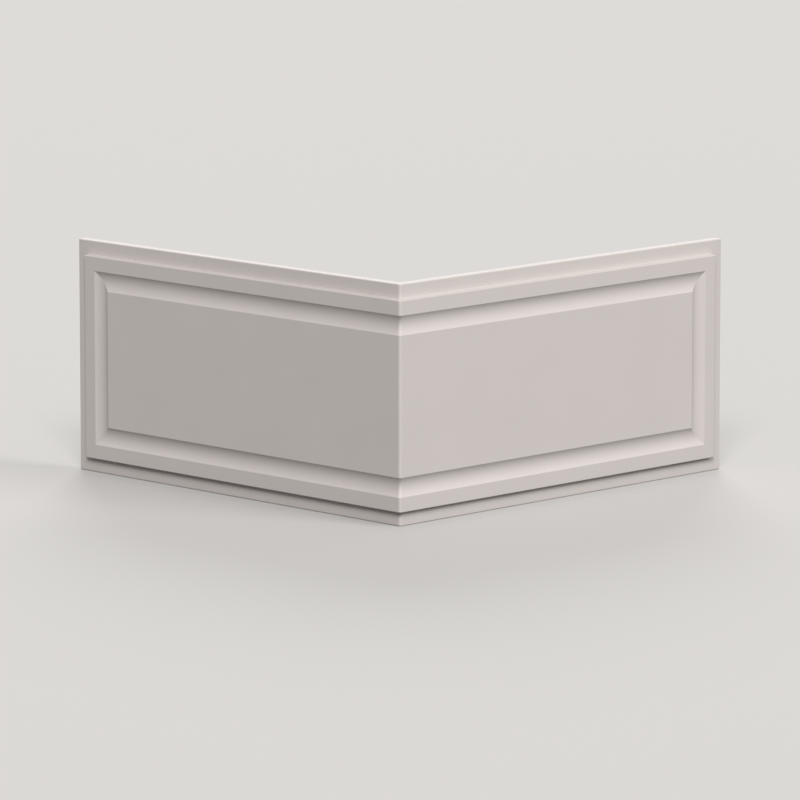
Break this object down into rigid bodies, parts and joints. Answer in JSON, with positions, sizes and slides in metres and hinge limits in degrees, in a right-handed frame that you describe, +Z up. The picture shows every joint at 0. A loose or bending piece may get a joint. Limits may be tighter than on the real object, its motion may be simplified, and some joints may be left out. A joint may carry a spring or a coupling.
{
  "type": "quoin stone",
  "caption": "L-shaped cast stone that wraps a wall's outside corner, each face with a raised panel framed by a mitred concave channel inside a plain margin.",
  "frame": {"origin": "the foot of the inner corner, on the bed face, where the wall's own arris stands", "axes": "+Z up from the bed face; one wing runs along +X with its face towards -Y, the other runs along +Y with its face towards -X"},
  "size_m": [0.59, 0.59, 0.3],
  "materials": {
    "cast_stone": "smooth matte off-white, as cast"
  },
  "bodies": {
    "root": {"quoin_stone": "cast_stone"}
  },
  "joints": []
}
